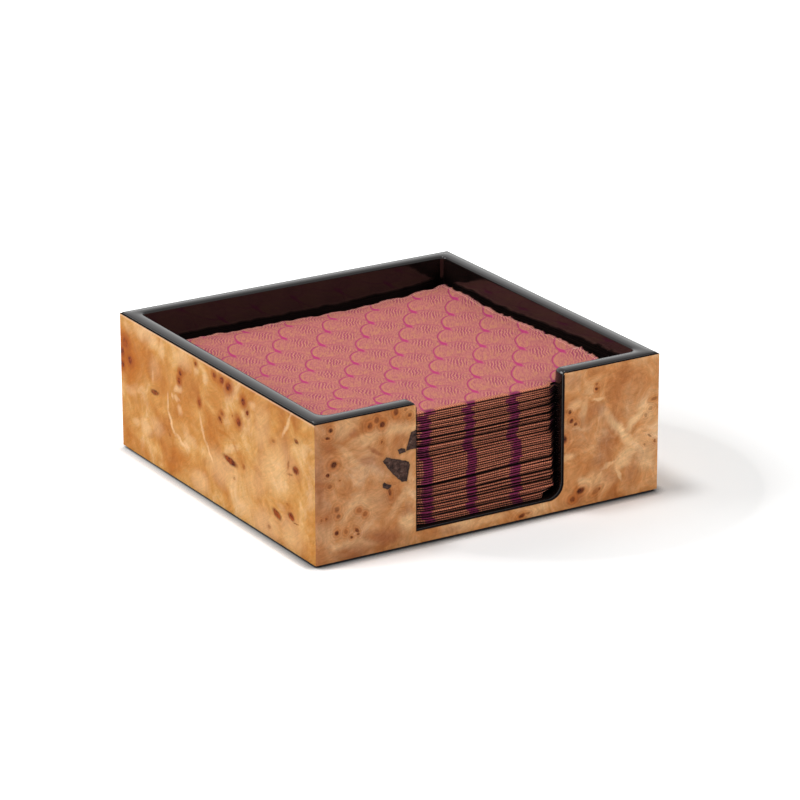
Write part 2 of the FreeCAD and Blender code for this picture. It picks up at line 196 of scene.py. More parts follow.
# Clouds in the figure, likewise: across, up, half width, half height, turn, paleness, russet depth.
FRONT_CLOUDS = [
    (-68, 36, 25, 36, 0, 0, 0.3), (-92, 36, 8, 44, 0, 0, 0.55), (-61, 43, 9, 6, 0, 0, 0.5),
    (-74, 4, 13, 5, 0, 0, 0.7), (-49, 53, 6, 6, 0, 0, 0.4), (50, 42, 8, 6, 0, 0, 0.4),
    (70, 43, 13, 4, 0, 0, 0.3), (84, 21, 9, 5, 0, 0, 0.3), (-66, 27, 12, 7, 0, 0.45, 0),
    (-17, 5, 9, 4, 0, 0.7, 0), (62, 12, 9, 5, 0, 0.45, 0),
    (-79, 66, 7, 5, 30, 0.5, 0), (-67, 59, 10, 3, 12, 0.5, 0), (-50, 60, 9, 3.4, -12, 0.6, 0),
    (-91, 17, 7, 5, -30, 0.7, 0), (-73, 7, 11, 2.6, -6, 0.75, 0), (-46, 13, 5, 5, 40, 0.8, 0),
    (-76, 50, 12, 2, -48, 0.45, 0), (-75, 27, 9, 2, 52, 0.5, 0), (-50, 24, 2.5, 8, -30, 0.45, 0),
    (-93, 42, 4.5, 20, 0, 0, 0.75), (-67, 47, 6, 4, 0, 0, 0.7), (-74, 62.5, 3, 3, 0, 0, 0.65),
    (-60, 9, 12, 5, -8, 0, 0.75), (-45, 19, 4, 3, 20, 0, 0.55), (-83, 42, 6, 6, 0, 0, 0.35),
    (-88, 25, 6, 5, 0, 0, 0.6), (-56, 43, 5, 8, 20, 0, 0.45), (-62, 51, 6, 1.6, -46, 0, 0.8),
    (0, 4.5, 10, 2, 10, 0.35, 0), (28, 5, 6, 2, 0, 0.4, 0), (-22, 4, 8, 2.5, -5, 0, 0.5),
    (72, 37, 11, 2.6, -50, 0.95, 0), (82, 38, 8, 2.2, 42, 0.8, 0), (77, 22, 9, 4, 40, 0.8, 0),
    (88, 42, 6, 5, 0, 0.55, 0), (88, 20, 5, 7, 0, 0.6, 0), (54, 12, 5, 2.6, -30, 0.7, 0),
    (67.5, 19, 6, 1.1, 12, 0.6, 0), (73.2, 14, 1.1, 5, 15, 0.7, 0), (62, 14, 1.1, 4.5, -20, 0.55, 0),
    (48, 54, 4, 3, 0, 0.45, 0), (52.5, 49, 2.2, 7, 0, 0.5, 0), (60, 54, 3.5, 1, 8, 0.65, 0),
    (50, 41, 4.5, 1, -12, 0.7, 0), (42, 28, 5, 2.4, 0, 0.5, 0), (64, 36, 2.4, 1.8, 0, 0.7, 0),
    (60, 48, 4.5, 4.5, 0, 0, 0.55), (65, 32, 5.5, 10, -20, 0, 0.6), (62, 22, 6, 4, 0, 0, 0.5),
    (80, 12, 4, 8, -12, 0, 0.45), (50, 34, 7, 3.4, 10, 0, 0.3), (45, 66, 5, 4, 0, 0, 0.45),
    (48, 6, 6, 3, 20, 0, 0.5), (68, 13, 4, 4, 0, 0, 0.35), (79, 55, 9, 12, 0, 0, 0.25),
]
LEFT_CLOUDS = [
    (85, 50, 16, 15, 0, 0, 1.0), (76, 58, 14, 4, -35, 0, 0.5), (69, 31, 5, 1.8, 8, 0, 0.4),
    (38, 14, 12, 4.5, 5, 0, 0.6), (45, 6, 14, 2.2, 0, 0, 0.5),
    (4, 38, 10, 9, 0, 0, 0.45), (30, 30, 12, 6, -25, 0, 0.3), (23, 61, 10, 5, 0, 0, 0.25),
    (-10, 62, 14, 5, 0, 0, 0.5), (-2, 54, 12, 4, 0, 0, 0.3), (-8, 39.5, 11, 1.1, 4, 0, 0.65),
    (-19, 36, 4, 1.2, 50, 0, 0.5), (-34, 50, 4, 5, 0, 0, 0.3), (-52, 58, 8, 6, 0, 0, 0.2),
    (47.3, 38, 0.9, 5, 3, 0.9, 0), (43.5, 28.5, 1, 6.5, -38, 1.0, 0), (34, 21.5, 6.5, 0.9, 28, 0.95, 0),
    (28, 20.5, 3, 1.4, 20, 0.8, 0), (12.0, 35, 1.1, 7.5, -24, 1.0, 0), (4.5, 24, 1.1, 6.5, -40, 0.95, 0),
    (36, 48, 4.5, 1.8, -20, 0.8, 0), (37, 43, 3, 1.4, 0, 0.75, 0), (34, 38, 2.2, 2.6, -15, 0.8, 0),
    (42, 43, 1.2, 1.6, 0, 0.7, 0), (17, 63, 3, 2.2, 0, 0.6, 0), (8, 62, 2.5, 3, 0, 0.7, 0),
    (68, 66, 12, 4.5, 5, 0.8, 0), (52, 63, 3, 5, 0, 0.6, 0), (62, 49, 1.6, 3.4, 0, 0.6, 0),
    (84, 34, 8, 3, -12, 0.55, 0), (70, 17, 6, 4, 0, 0.6, 0), (80, 17, 3, 2, 0, 0.5, 0),
    (-38, 62, 3.5, 2, 0, 0.7, 0), (-16, 34, 7, 2, -25, 0.6, 0), (-70, 62, 1.2, 9, 30, 0.7, 0),
    (-60, 38, 22, 12, -30, 0.45, 0), (-40, 24, 16, 7, -20, 0.35, 0), (-91, 38, 6, 30, 0, 0, 0.3),
    (-30, 10, 14, 5, 0, 0.35, 0), (-8, 21, 17, 9, 0, 0.5, 0), (-48, 6, 15, 9, 0, 0.55, 0),
    (-72, 9, 12, 10, 0, 0.5, 0), (15, 7, 9, 6, 0, 0.55, 0), (-46, 54, 8, 14, 0, 0.4, 0),
    (30, 64, 8, 5, 0, 0.55, 0), (60, 22, 8, 5, 0, 0.4, 0), (60, 52, 7, 5, 0, 0.35, 0),
    (-30, 63, 9, 5, 0, 0, 0.5), (90, 7, 6, 6, 0, 0, 0.6), (74, 5, 8, 4, 0, 0, 0.5),
    (76, 31, 12, 6, 0, 0, 0.35), (50, 50, 14, 9, 0, 0, 0.3), (28, 36, 12, 10, 0, 0, 0.35),
    (-45, 63, 8, 5, 0, 0, 0.35), (-14, 46, 10, 8, 0, 0, 0.3), (24, 25, 6, 3, 0, 0.5, 0),
    (-64, 20, 5, 2, 12, 0.3, 0),
]


def scattered_figure(seed):
    """Bud eyes and clouds for a veneer in the same density, gathered in clusters."""
    draw = random.Random(seed)
    eyes, clouds = [], []
    for _ in range(7):
        along, up = draw.uniform(-84, 84), draw.uniform(12, 62)
        for _ in range(draw.randint(2, 5)):
            size, warmth = draw.uniform(0.5, 1.6), draw.uniform(0.3, 1.0)
            eyes.append((along + draw.gauss(0, 6), min(67, max(4, up + draw.gauss(0, 5))), size,
                         size * draw.uniform(0.7, 1.1), draw.uniform(-40, 40),
                         draw.uniform(0.4, 0.95), warmth))
        clouds.append((along, up, draw.uniform(8, 14), draw.uniform(5, 9), 0, 0, 0.5))
    for _ in range(4):
        eyes.append((draw.uniform(-84, 84), draw.uniform(8, 60), draw.uniform(2.5, 5.5),
                     draw.uniform(1.0, 1.6), draw.uniform(-12, 12), 0.8, 0.0))
    for i in range(22):
        size = draw.uniform(3, 12)
        clouds.append((draw.uniform(-92, 92), draw.uniform(4, 66), size, draw.uniform(0.9, 4),
                       draw.uniform(-60, 60), *((draw.uniform(0.4, 0.9), 0) if i % 3 else
                                                (0, draw.uniform(0.3, 0.7)))))
    return eyes, clouds


# Grounds of the leaves, from their darkest clouds to their palest.
DUSKY_HONEY = ("#AA6634", "#BF7C48", "#CC8D57", "#D79F6C", "#EBBF92")
AMBER_HONEY = ("#B26A2A", "#C4803C", "#CF914A", "#D9A25E", "#EBC08C")


def notch_edge(tree, place):
    """1 on the lacquered edge of the front leaf's notch and 0 past it. The notch's right foot is a
    wide round and its left side is straight, down to a square foot."""
    x = node(tree, "SeparateXYZ", (place,), out=0)
    up = node(tree, "SeparateXYZ", (place,), out=2)
    out = node(tree, "Math", (x, FOOT_X), operation="SUBTRACT")
    out = node(tree, "Math", (out, 0.0), operation="MAXIMUM")
    down = node(tree, "Math", (FOOT_Z, up), operation="SUBTRACT")
    down = node(tree, "Math", (down, 0.0), operation="MAXIMUM")
    spoke = node(tree, "CombineXYZ", (out, down))
    right = node(tree, "VectorMath", (spoke,), out=1, operation="LENGTH")
    right = node(tree, "Math", (right, FOOT_ROUND), operation="SUBTRACT")
    left = node(tree, "Math", (-NOTCH_HALF, x), operation="SUBTRACT")
    clear = node(tree, "Math", (right, left), operation="MAXIMUM")
    return node(tree, "MapRange", (clear, 0.7, 0.45))


def burl_grain(tree, place, swirl, face, grain_turn, curdle):
    """How pale or dark the wood is, about 1: curdled mottling around the buds, 2.6 mm across, contour
    grain about 1 mm apart, and fibres 11 mm long by 0.7 mm wide."""
    mottle = node(tree, "TexNoise", {"Vector": swirl, "Scale": 1 / 2.6, "Detail": 5.0, "Roughness": 0.65})
    shade = node(tree, "MapRange", (mottle, 0.3, 0.7, 1 - curdle, 1 + curdle))
    flow = node(tree, "TexNoise", {"Vector": swirl, "Scale": 1 / 24, "Detail": 1.0})
    flow = node(tree, "Math", (flow, 430.0), operation="MULTIPLY")
    flow = node(tree, "Math", (flow,), operation="SINE")
    shade = node(tree, "Math", (flow, 0.03, shade), operation="MULTIPLY_ADD")
    turn = math.radians(grain_turn)
    along = node(tree, "Mapping", {"Vector": wander(tree, place, 30, 14),
                                   "Rotation": (0, -turn, 0) if face[0] == "X" else (turn, 0, 0),
                                   "Scale": (11, 11, 0.7)}, vector_type="TEXTURE")
    fibre = node(tree, "TexNoise", {"Vector": along, "Scale": 1.0, "Detail": 3.0, "Roughness": 0.6})
    fibre = node(tree, "MapRange", (fibre, 0.3, 0.7, 0.93, 1.07))
    return node(tree, "Math", (shade, fibre), operation="MULTIPLY")


def burl_veneer(name, face, eyes, clouds, grain_turn, ground, stain, hearts, rings=0.05, curdle=0.14,
                blush=0.9, notched=False):
    """Sliced poplar burl under clear lacquer: honey ground with swirling clouds and fine contour
    grain, dark bud eyes in russet haloes and, on one leaf, bark inclusions, below a thin coat. The
    black lacquer of the rim and the notch laps over the leaf's edge."""
    material, tree, shader = new_material(
        name, Roughness=0.5, Specular_IOR_Level=0.0, Coat_Weight=0.15, Coat_Roughness=0.08, Coat_IOR=1.5)
    place = node(tree, "TexCoord", out=3)
    place = node(tree, "VectorMath", {0: place, 3: 1000.0}, operation="SCALE")
    swirl = wander(tree, wander(tree, place, 34, 30), 9, 6)
    cloud = node(tree, "TexNoise", {"Vector": swirl, "Scale": 1 / 20, "Detail": 6.0, "Roughness": 0.6})
    colour = node(tree, "ValToRGB", (cloud,), stops=list(zip((0.30, 0.42, 0.50, 0.58, 0.70), ground)))
    ragged = wander(tree, wander(tree, place, 14, 7), 3.0, 2.4)
    pale, russet, _ = spots(tree, ragged, face, clouds, [(1.5, 0.3), (1.7, 0.2)])
    colour = node(tree, "Mix", {0: pale, 6: colour, 7: paint("#F0C490")}, out=2, data_type="RGBA")
    colour = node(tree, "Mix", {0: russet, 6: colour, 7: paint(stain)}, out=2, data_type="RGBA")
    shade = burl_grain(tree, place, swirl, face, grain_turn, curdle)
    nearby = wander(tree, place, 1.7, 1.1)
    core, halo, near = spots(tree, nearby, face, eyes, [(1.4, 0.6), (3.6, 0.9)])
    # Growth rings round each bud, pale and dark by turns, that fade within a few millimetres.
    ring = node(tree, "Math", (near, 4.6), operation="MULTIPLY")
    ring = node(tree, "Math", (ring,), operation="SINE")
    fade = node(tree, "MapRange", (near, 6.5, 1.5, 0.0, rings))
    shade = node(tree, "Math", (ring, fade, shade), operation="MULTIPLY_ADD")
    halo = node(tree, "Math", (halo, blush), operation="MULTIPLY")
    colour = node(tree, "Mix", {0: halo, 6: colour, 7: paint("#A85210")}, out=2, data_type="RGBA")
    tone = node(tree, "VectorMath", {0: colour, 3: shade}, operation="SCALE")
    depth = node(tree, "TexNoise", {"Vector": place, "Scale": 0.9, "Detail": 3.0})
    heart = node(tree, "ValToRGB", (depth,), stops=[(0.35, hearts[0]), (0.65, hearts[1])])
    core = node(tree, "Math", (core, 1.2), operation="MULTIPLY", use_clamp=True)
    colour = node(tree, "Mix", {0: core, 6: tone, 7: heart}, out=2, data_type="RGBA")
    up = node(tree, "SeparateXYZ", (place,), out=2)
    lap = node(tree, "MapRange", (up, LEAF_TOP - 0.35, LEAF_TOP - 0.2))
    if notched:
        colour = bark_inclusions(tree, place, colour)
        lap = node(tree, "Math", (lap, notch_edge(tree, place)), operation="MAXIMUM")
    else:
        # Along its top the leaf is painted pale, where its thickness shows at the eased edge: partly the
        # leaf's own paler edge and partly a painted highlight where that edge catches the light.
        pale_edge_and_highlight = node(tree, "MapRange", (up, LEAF_TOP - 1.4, LEAF_TOP - 0.7, 0.0, 0.55))
        colour = node(tree, "Mix", {0: pale_edge_and_highlight, 6: colour, 7: paint("#F0C4A0")}, out=2, data_type="RGBA")
    colour = node(tree, "Mix", {0: lap, 6: colour, 7: paint("#120D0C")}, out=2, data_type="RGBA")
    tree.links.new(colour, shader.inputs["Base Color"])
    return material


# Bark caught in the burl: corners of each convex chip, in mm across and up the front leaf.
BARK_CHIPS = [
    [(-58.9, 45.4), (-57.0, 47.1), (-49.2, 44.6), (-45.0, 42.9), (-44.2, 41.0), (-45.9, 33.2),
     (-48.8, 33.4), (-53.9, 38.5)],
    [(-46.6, 48.2), (-43.6, 57.0), (-40.0, 58.0), (-40.0, 48.6)],
    [(-51.0, 49.6), (-50.2, 47.2), (-46.4, 47.6), (-46.8, 49.4), (-49.0, 50.2)],
    [(-59.1, 34.2), (-58.2, 35.0), (-54.4, 33.0), (-54.6, 31.8), (-56.6, 31.2), (-58.8, 32.4)],
]


def bark_inclusions(tree, place, colour):
    """Chips of bark in the leaf: hard-edged, dark grey-brown and flecked with silver at the rim."""
    place = wander(tree, place, 1.8, 1.0, 3.0)
    inside = None
    for chip in BARK_CHIPS:
        chip_depth = None
        for (x0, z0), (x1, z1) in zip(chip, chip[1:] + chip[:1]):
            away = Vector((z0 - z1, 0, x1 - x0)).normalized()
            if away.dot(Vector((sum(x for x, _ in chip) / len(chip) - x0, 0,
                                sum(z for _, z in chip) / len(chip) - z0))) < 0:
                away = -away
            reach = node(tree, "VectorMath", (place, away), out=1, operation="DOT_PRODUCT")
            reach = node(tree, "Math", (reach, away.x * x0 + away.z * z0), operation="SUBTRACT")
            chip_depth = reach if chip_depth is None else node(
                tree, "Math", (chip_depth, reach), operation="MINIMUM")
        inside = chip_depth if inside is None else node(
            tree, "Math", (inside, chip_depth), operation="MAXIMUM")
    flecks = node(tree, "TexNoise", {"Vector": place, "Scale": 0.55, "Detail": 5.0, "Roughness": 0.65})
    chip = node(tree, "ValToRGB", (flecks,), stops=[
        (0.34, "#1E1614"), (0.50, "#46302A"), (0.62, "#5D443B"), (0.76, "#77706C")])
    rim = node(tree, "MapRange", (inside, 1.3, 0.1, 0.0, 0.7))
    chip = node(tree, "Mix", {0: rim, 6: chip, 7: paint("#2A2421")}, out=2, data_type="RGBA")
    stain = node(tree, "MapRange", (inside, -1.3, -0.1, 0.0, 0.35))
    colour = node(tree, "Mix", {0: stain, 6: colour, 7: paint("#A06A40")}, out=2, data_type="RGBA")
    edge = node(tree, "MapRange", (inside, -0.15, 0.2))
    return node(tree, "Mix", {0: edge, 6: colour, 7: chip}, out=2, data_type="RGBA")


# ------------------------------------------------------------------ lacquer, felt and core wood


def black_lacquer():
    """Black piano lacquer, sprayed and polished on the cores, sill and floor: a warm near-black with
    a mirror gloss. Polishing has crowned the rim, so its gloss fades towards the outer edge."""
    material, tree, shader = new_material("black_piano_lacquer", Roughness=0.1, IOR=1.45)
    place = node(tree, "TexCoord", out=3)
    drift = node(tree, "TexNoise", {"Vector": place, "Scale": 90.0, "Detail": 3.0})
    colour = node(tree, "ValToRGB", (drift,), stops=[(0.3, "#110C0B"), (0.7, "#181110")])
    tree.links.new(colour, shader.inputs["Base Color"])
    # The crown: a parabola across the rim, 4 mm to each side of the rim's middle.
    x = node(tree, "Math", (node(tree, "SeparateXYZ", (place,), out=0),), operation="ABSOLUTE")
    y = node(tree, "Math", (node(tree, "SeparateXYZ", (place,), out=1),), operation="ABSOLUTE")
    out = node(tree, "Math", (x, y, 0.008), operation="SMOOTH_MAX")
    out = node(tree, "Math", (out, RIM_MIDDLE * MM), operation="SUBTRACT")
    out = node(tree, "Math", (out, 250.0), operation="MULTIPLY")
    out = node(tree, "Math", (out, 1.05), operation="MINIMUM")
    out = node(tree, "Math", (out, -1.05), operation="MAXIMUM")
    crown = node(tree, "Math", (out, out), operation="MULTIPLY")
    crown = node(tree, "Math", (1.2, crown), operation="SUBTRACT")
    ripple = node(tree, "TexNoise", {"Vector": place, "Scale": 160.0, "Detail": 2.0})
    crown = node(tree, "Math", (ripple, 0.04, crown), operation="MULTIPLY_ADD")
    bump = node(tree, "Bump", {"Height": crown, "Strength": 1.0, "Distance": 0.001})
    tree.links.new(bump, shader.inputs["Normal"])
    return material


def spline_wood():
    """Beech splines in the mitres: pink-tan side grain, planed, with 1 mm rays."""
    material, tree, shader = new_material("planed_beech", Roughness=0.6)
    place = node(tree, "TexCoord", out=3)
    grain = node(tree, "Mapping", {"Vector": place, "Scale": (900.0, 900.0, 60.0)})
    rays = node(tree, "TexNoise", {"Vector": grain, "Scale": 1.0, "Detail": 4.0})
    colour = node(tree, "ValToRGB", (rays,), stops=[(0.35, "#B98A62"), (0.65, "#D0A57C")])
    tree.links.new(colour, shader.inputs["Base Color"])
    return material


def base_felt():
    """Black self-adhesive felt under the box: matt, pilled, with fibres about 0.3 mm long."""
    material, tree, shader = new_material("black_felt", Roughness=0.95, Sheen_Weight=0.4)
    place = node(tree, "TexCoord", out=3)
    nap = node(tree, "TexNoise", {"Vector": place, "Scale": 3000.0, "Detail": 4.0})
    colour = node(tree, "ValToRGB", (nap,), stops=[(0.35, "#0C0B0C"), (0.7, "#221F20")])
    tree.links.new(colour, shader.inputs["Base Color"])
    bump = node(tree, "Bump", {"Height": nap, "Strength": 0.6, "Distance": 0.0004})
    tree.links.new(bump, shader.inputs["Normal"])
    return material


# ------------------------------------------------------------------ napkins

SIDE = 165.0                        # a folded napkin is this square, in mm
LAYERS = (0.08, 0.33, 0.58, 0.83)   # where its four layers lie in its own thickness
NAPKINS = 25
REST = SILL + 0.15                  # the underside of the stack, just on the lacquered floor
STACK_TOP = 62.65                   # its top, in the middle of the front folds
TURN = math.radians(-1.2)           # the stack stands a little askew
CENTRE = (0.3, -1.0)                # the middle of the stack, seen from above
WALL = 86.75                        # how far from the box's middle the walls stop the stack
PAPER = 0.12                        # thickness of one layer
EMBOSSED = 0.16                     # how far the middle of each scale stands up on the top napkin
BULGE, LOW_BULGE = 87.6, 4.2        # how far out the folds swell in the notch, and how much more low down
BULGE_DEPTH = 30                    # how far behind the folds the swelling dies away
CORNER_DRAG = 2.3                   # how far the back right corner is dragged backwards


def smooth(t):
    """0 up to 1 with soft ends."""
    t = min(1.0, max(0.0, t))
    return t * t * (3 - 2 * t)


def top_height(a, b):
    """How high the whole stack stands, a mm from its left folds and b mm from its front folds."""
    x = a / (SIDE / 2) - 1
    # The folds hold the front up, the middle is hollow, and the loose right and back edges hang.
    slope = -5.6 * b / 150
    dish = 0.7 * (x * x - 0.33)
    droop = -1.4 * smooth((a - 125) / 38) - 2.0 * smooth((b - 146) / 19)
    # The back right corner curls up, and the right edge is puffed up in front of its middle.
    corner = 3.6 * math.exp(-((SIDE - a) ** 2 + (SIDE - b) ** 2) / 22 ** 2)
    puffed = 0.8 * math.exp(-(((SIDE - a) / 25) ** 2) - ((b - 62) / 40) ** 2)
    return STACK_TOP + slope + dish + droop + corner + puffed


def swelling(x, z):
    """How far the folds may swell into the finger notch: 0 beside it, 1 well inside."""
    down = min(FOOT_ROUND, max(0.0, FOOT_Z - z))
    foot = FOOT_ROUND - math.sqrt(FOOT_ROUND ** 2 - down ** 2)
    return smooth((x + NOTCH_HALF - 0.2) / 2.2) * smooth((NOTCH_HALF - 0.3 - foot - x) / 2.8)


def lay(a, b, level, drift, stagger):
    """The world place, in mm, of a point of the stack: a and b across it and level up it, 0 to 1."""
    top = top_height(a, b)
    # Half-way up, the layers lie up to 1.5 mm lower or higher, and each ripples a little.
    slump = 4 * level * (1 - level) * 1.5 * noise.noise(Vector((a / 75, b / 75, level * 2.6 + 3)))
    ripple = 0.13 * noise.noise(Vector((a / 17, b / 17, drift)))
    z = REST + level * (top - REST) + slump + ripple * smooth(level * 12)
    x0, y0 = a - SIDE / 2, b - SIDE / 2 + CORNER_DRAG * (a / SIDE) ** 2 * (b / SIDE) ** 4
    x = CENTRE[0] + x0 * math.cos(TURN) - y0 * math.sin(TURN)
    y = CENTRE[1] + x0 * math.sin(TURN) + y0 * math.cos(TURN)
    # The front folds swell into the notch, and each stands out by its own stagger and wave.
    near_front = math.exp(-(b / BULGE_DEPTH) ** 2)
    front = CENTRE[1] + x0 * math.sin(TURN) - SIDE / 2 * math.cos(TURN)
    swell = swelling(x, z)
    bulge = -(BULGE + LOW_BULGE * (1 - level) ** 1.2) - front
    wave = 0.4 * noise.noise(Vector((a / 24, drift * 3.1, stagger)))
    y += near_front * (swell * bulge + stagger + wave)
    z += near_front * 0.22 * noise.noise(Vector((a / 26, drift * 2.3, stagger * 2)))
    if swell < 0.02:
        y = max(y, -WALL)
    return max(-WALL, min(WALL, x)), min(WALL, y), z


# One scale of the print, in mm: half its width, and its height. The outlines' ink runs in bands
# round the front folds of the lower napkins: where one band lies, how far apart they are, and the
# share of a scale by which they miss the pattern's own start.
SCALE_HALF, SCALE_HIGH = 12.6, 16.0
BAND_PLACE, BAND_PITCH, BAND_SHARE = 51.6, 24.6, 0.43
STROKE_PITCH = 1.5          # of the combed strokes
DOT_PITCH = 1.2             # of the embossed dots along the folds
GRIT = (25.0, 16.0, 1.0)    # turns the pattern's scales and rows into mm, roughly, for the fine grain

# Lines of faces across each half of a sheet: where it is hidden, and where the top napkin shows.
HIDDEN_LINES, SHOWN_LINES = 26, 110

# The print on the top napkin: the pitch of its scales and rows in mm, the scale and row in the
# napkin's middle, and how far, in scales and rows, the pattern is drawn aside towards the sheet's
# edges: leaning, bowed across, bowed from front to back, and flared towards the corners.
SCALE_PITCH, ROW_PITCH = 25.5, 17.4
PRINT_START = (-0.19, -3.77)
PRINT_LEAN = (-0.08, -0.26)
PRINT_BOW = (-0.31, -0.86)
PRINT_CREEP = (-0.10, -0.25)
PRINT_FLARE = (0.23, 0.70)


def print_place(u, v, top):
    """The scale pattern's own coordinates, in scales across and rows up, at a place on the sheet."""
    if not top:
        return (abs(u) - BAND_PLACE) / BAND_PITCH - BAND_SHARE, (abs(v) - SIDE) / SCALE_HIGH
    x, y = abs(u) / (SIDE / 2) - 1, abs(v) / (SIDE / 2) - 1
    even = (x * SIDE / 2 / SCALE_PITCH + PRINT_LEAN[0] * y, y * SIDE / 2 / ROW_PITCH + PRINT_LEAN[1] * x)
    return tuple(start + place + bow * x * x + creep * y * y + flare * x * y * y
                 for start, place, bow, creep, flare in
                 zip(PRINT_START, even, PRINT_BOW, PRINT_CREEP, PRINT_FLARE))


def scale_measure(across, up):
    """1 on a scale's arched outline, less inside it and more outside it."""
    row = math.floor(up)
    x = (across + 0.5 * (row % 2)) % 1.0 - 0.5
    return math.hypot(2 * x, up - row)


def sheet_lines(near, far):
    """Lines across the sheet, each as its fold's sine and cosine and its distance from the fold."""
    def side(count):
        return [0.8] + [SIDE * (k + 1) / count for k in range(count)]
    before = [(-1.0, 0.0, d) for d in reversed(side(near))]
    bend = [(math.sin(t), math.cos(t), 0.0) for t in (math.radians(d) for d in (-90, -45, 0, 45, 90))]
    return before + bend + [(1.0, 0.0, d) for d in side(far)]


def fold_point(column, row, short):
    """Where a point of the flat sheet lies in the folded napkin: mm from the left folds, mm from the
    front folds, and how far up the napkin's own thickness, 0 to 1."""
    (su, cu, du), (sv, cv, dv) = column, row
    # How much the point belongs to each of the four layers, from the lowest up.
    shares = ((1 - su) * (1 - sv) / 4, (1 - su) * (1 + sv) / 4,
              (1 + su) * (1 + sv) / 4, (1 + su) * (1 - sv) / 4)
    layer = sum(share * height for share, height in zip(shares, LAYERS))
    thick = (top_height(82, 40) - REST) / NAPKINS
    outer, inner = (LAYERS[3] - LAYERS[0]) / 2 * thick, (LAYERS[2] - LAYERS[1]) / 2 * thick
    radius = (outer * (1 - sv) + inner * (1 + sv)) / 2
    a = outer - radius + radius * (1 - cu) + du * (1 + sum(s * e for s, e in zip(shares, short)))
    tip = (LAYERS[1] - LAYERS[0]) / 2 * thick
    b = tip * (1 - cv) + dv * (1 + sum(s * e for s, e in zip(shares, short[4:])))
    return a, b, layer


def map_sheet(mesh, prints, folds):
    """The sheet's two maps: where the print lies, and how far each place is from the folds, in mm."""
    mesh.uv_layers.active.name = "print"
    mesh.uv_layers.new(name="folds")
    for title, places in (("print", prints), ("folds", folds)):
        layer = mesh.uv_layers[title]
        for loop in mesh.loops:
            layer.data[loop.index].uv = places[loop.vertex_index]


def fold_napkin(name, index, near, far):
    """One napkin: a flat sheet folded in half at the front, then in half at the left, on the stack."""
    columns, rows = sheet_lines(near, far), sheet_lines(far, near)
    bpy.ops.object.select_all(action="DESELECT")
    bpy.ops.mesh.primitive_grid_add(x_subdivisions=len(columns) - 1, y_subdivisions=len(rows) - 1, size=2)
    piece = bpy.context.object
    piece.name = piece.data.name = name
    # How far the lower and upper front folds stand out, how short each layer is cut, and how far the
    # print slips.
    draw = random.Random(index * 17 + 5)
    staggers = [draw.uniform(-0.45, 0.45) + draw.choice((0, 0, 0.4, 1.6)) for _ in range(2)]
    short = [draw.uniform(-0.006, 0.0) for _ in range(8)]
    slip = (draw.uniform(-0.04, 0.04) + 0.02 * math.sin(index * 0.9), draw.uniform(-0.05, 0.05))
    top = index == NAPKINS - 1
    if top:
        staggers, slip = [-0.2, 0.0], (0, 0)
    places, prints, folds = [], [], []
    for vertex in piece.data.vertices:
        i = round((vertex.co.x + 1) / 2 * (len(columns) - 1))
        j = round((vertex.co.y + 1) / 2 * (len(rows) - 1))
        (su, _, du), (_, _, dv) = columns[i], rows[j]
        a, b, layer = fold_point(columns[i], rows[j], short)
        stagger = (staggers[0] * (1 - su) + staggers[1] * (1 + su)) / 2
        if top:
            a, b = a + frayed(a, b, 1), b + frayed(b, a, 5)
        x, y, z = lay(a, b, (index + layer) / NAPKINS, index * 0.37, stagger)
        across, up = print_place(du * (1 if su >= 0 else -1), dv, top)
        if top and su > 0:
            z += loose_edge(a, b) + EMBOSSED * max(0.0, 1 - scale_measure(across, up) ** 2)
        places.append((x * MM, y * MM, z * MM))
        prints.append((across + slip[0], up + slip[1]))
        folds.append((du, dv))
    for vertex, place in zip(piece.data.vertices, places):
        vertex.co = place
    map_sheet(piece.data, prints, folds)
    piece.data.flip_normals()
    piece.data.materials.append(printed_tissue)
    piece.data.materials.append(plain_tissue)
    body = piece.modifiers.new("tissue", "SOLIDIFY")
    body.thickness, body.offset, body.material_offset = PAPER * MM, 0, 1
    bpy.ops.object.modifier_apply(modifier=body.name)
    bpy.ops.object.shade_smooth()
    return piece


def frayed(out, along, seed):
    """How far the top napkin's two loose edges wander in the plane of the sheet, in waves about 16,
    5.5 and 2.4 mm long that die away 14 mm in."""
    return math.exp(-max(0.0, SIDE - out) / 14) * (
        1.1 * noise.noise(Vector((along / 16, seed, 0))) + 0.8 * noise.noise(Vector((along / 5.5, seed, 3)))
        + 0.7 * noise.noise(Vector((along / 2.4, seed, 6))))


def loose_edge(a, b):
    """The flutter of the top napkin's two loose edges, where the embossing lets the layers lift."""
    right = math.exp(-(SIDE - a) / 5) * (0.3 + 1.0 * noise.noise(Vector((b / 6.5, 4.2, 0)))
                                         + 0.9 * noise.noise(Vector((b / 2.6, 9.1, 0))))
    back = math.exp(-(SIDE - b) / 6) * (0.2 + 0.9 * noise.noise(Vector((a / 8, 1.3, 0)))
                                        + 0.5 * noise.noise(Vector((a / 2.8, 7.7, 0))))
    return right + back


def scale_cell(tree, place):
    """Where a place is in its scale: -1 to 1 across it, 0 to 1 up it, and how far from its middle,
    which is 1 on the arched outline."""
    across = node(tree, "SeparateXYZ", (place,), out=0)
    up = node(tree, "SeparateXYZ", (place,), out=1)
    y = node(tree, "Math", (up,), operation="FRACT")
    row = node(tree, "Math", (up,), operation="FLOOR")
    odd = node(tree, "Math", (row, 2.0), operation="FLOORED_MODULO")
    x = node(tree, "Math", (odd, 0.5, across), operation="MULTIPLY_ADD")
    x = node(tree, "Math", (x,), operation="FRACT")
    x = node(tree, "Math", (x, 2.0, -1.0), operation="MULTIPLY_ADD")
    spoke = node(tree, "CombineXYZ", (x, y))
    return x, y, node(tree, "VectorMath", (spoke,), out=1, operation="LENGTH")


